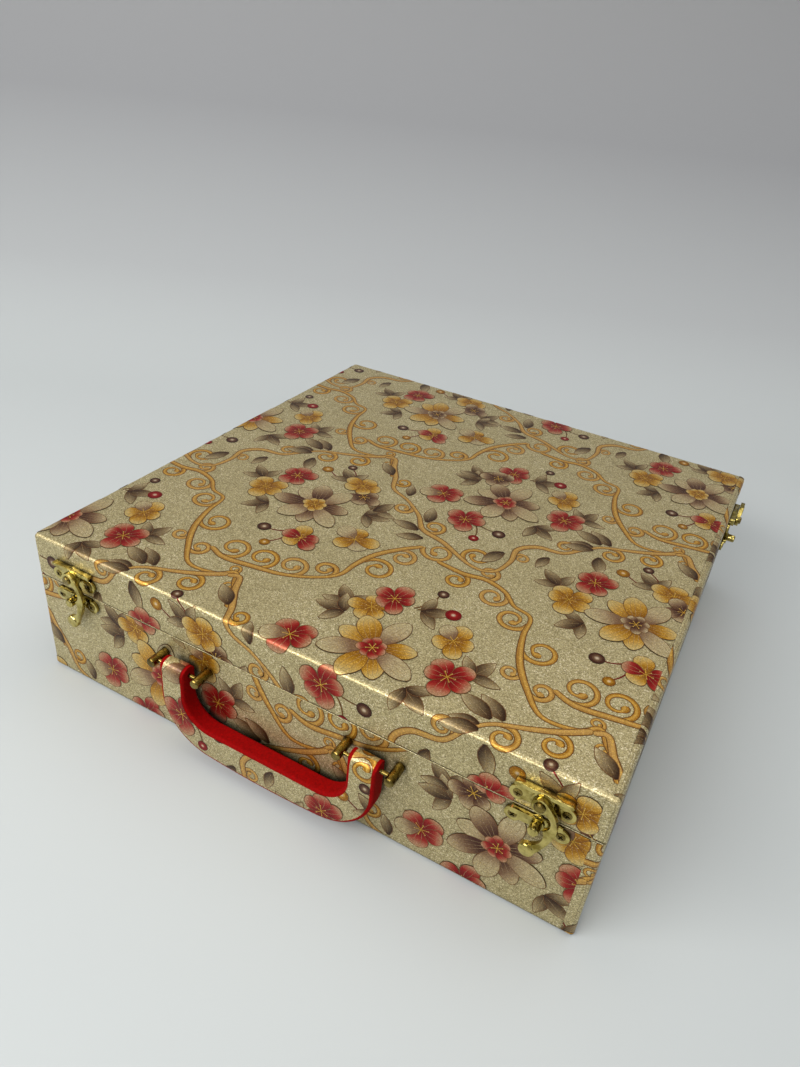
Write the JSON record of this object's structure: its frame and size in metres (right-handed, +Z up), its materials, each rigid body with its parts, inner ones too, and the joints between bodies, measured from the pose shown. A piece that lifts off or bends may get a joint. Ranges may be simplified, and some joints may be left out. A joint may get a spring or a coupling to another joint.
{
  "type": "bangle box",
  "caption": "Flat square bangle box, wooden boards covered in printed leatherette, hinged lid with hook latches, drop handle and turning velvet rolls.",
  "frame": {"origin": "middle of the tray's underside, on the surface that the box stands on", "axes": "+X right along the front, +Y to the hinged back, +Z up"},
  "size_m": [0.312, 0.3293, 0.0869],
  "materials": {
    "printed_leatherette": "metallic champagne leatherette with a printed floral scroll",
    "red_edging": "matt painted edge",
    "brass": "cast and polished, greenish gold",
    "board": "raw fibreboard",
    "velvet": "deep red velvet",
    "underside_paper": "matt embossed paper",
    "roll_card": "spiral wound card",
    "roll_wood": "turned and varnished"
  },
  "bodies": {
    "base": {"base_bottom_board": "board", "base_front_wall": "board", "base_back_wall": "board", "base_left_wall": "board", "base_right_wall": "board", "base_cover": "printed_leatherette", "base_bottom_sheet": "underside_paper", "base_lining": "velvet", "left_roll_rest": "roll_wood", "right_roll_rest": "roll_wood", "left_keeper_plate": "brass", "right_keeper_plate": "brass", "side_keeper_plate": "brass", "latch_studs": "brass", "keeper_plate_screws": "brass", "handle_posts": "brass", "handle_post_nuts": "brass", "handle_pins": "brass", "hinge_base_leaves": "brass", "hinge_pins": "brass", "hinge_base_screws": "brass"},
    "lid": {"lid_top_board": "board", "lid_front_wall": "board", "lid_back_wall": "board", "lid_left_wall": "board", "lid_right_wall": "board", "lid_cover": "printed_leatherette", "lid_lining": "velvet", "lid_pad": "velvet", "left_hook_plate": "brass", "right_hook_plate": "brass", "side_hook_plate": "brass", "hook_rivets": "brass", "hook_plate_screws": "brass", "hinge_lid_leaves": "brass", "hinge_lid_screws": "brass"},
    "left_hook": {"left_hook": "brass"},
    "right_hook": {"right_hook": "brass"},
    "side_hook": {"side_hook": "brass"},
    "handle": {"handle_core": "board", "handle_cover": "printed_leatherette", "handle_outer_edging": "red_edging", "handle_inner_edging": "red_edging"},
    "roll_1": {"roll_1_core": "roll_card", "roll_1_sleeve": "velvet", "roll_1_caps": "roll_wood"},
    "roll_2": {"roll_2_core": "roll_card", "roll_2_sleeve": "velvet", "roll_2_caps": "roll_wood"},
    "roll_3": {"roll_3_core": "roll_card", "roll_3_sleeve": "velvet", "roll_3_caps": "roll_wood"},
    "roll_4": {"roll_4_core": "roll_card", "roll_4_sleeve": "velvet", "roll_4_caps": "roll_wood"}
  },
  "joints": [
    {"name": "lid_hinge", "type": "hinge", "parent": "base", "child": "lid", "pos_m": [0, 0.1589, 0.0622], "axis": [-1, 0, 0], "range_deg": [0, 175]},
    {"name": "left_hook_swing", "type": "hinge", "parent": "lid", "child": "left_hook", "pos_m": [-0.1255, -0.1565, 0.072], "axis": [0, -1, 0], "range_deg": [0, 105]},
    {"name": "right_hook_swing", "type": "hinge", "parent": "lid", "child": "right_hook", "pos_m": [0.1255, -0.1565, 0.072], "axis": [0, -1, 0], "range_deg": [0, 105]},
    {"name": "side_hook_swing", "type": "hinge", "parent": "lid", "child": "side_hook", "pos_m": [0.1525, 0.122, 0.072], "axis": [1, 0, 0], "range_deg": [-80, 25]},
    {"name": "handle_swing", "type": "hinge", "parent": "base", "child": "handle", "pos_m": [0, -0.1635, 0.0505], "axis": [-1, 0, 0], "range_deg": [-2.5, 175]},
    {"name": "roll_1_spin", "type": "hinge", "parent": "base", "child": "roll_1", "pos_m": [0, -0.108, 0.048], "axis": [1, 0, 0], "continuous": true},
    {"name": "roll_2_spin", "type": "hinge", "parent": "base", "child": "roll_2", "pos_m": [0, -0.036, 0.048], "axis": [1, 0, 0], "continuous": true},
    {"name": "roll_3_spin", "type": "hinge", "parent": "base", "child": "roll_3", "pos_m": [0, 0.036, 0.048], "axis": [1, 0, 0], "continuous": true},
    {"name": "roll_4_spin", "type": "hinge", "parent": "base", "child": "roll_4", "pos_m": [0, 0.108, 0.048], "axis": [1, 0, 0], "continuous": true}
  ]
}
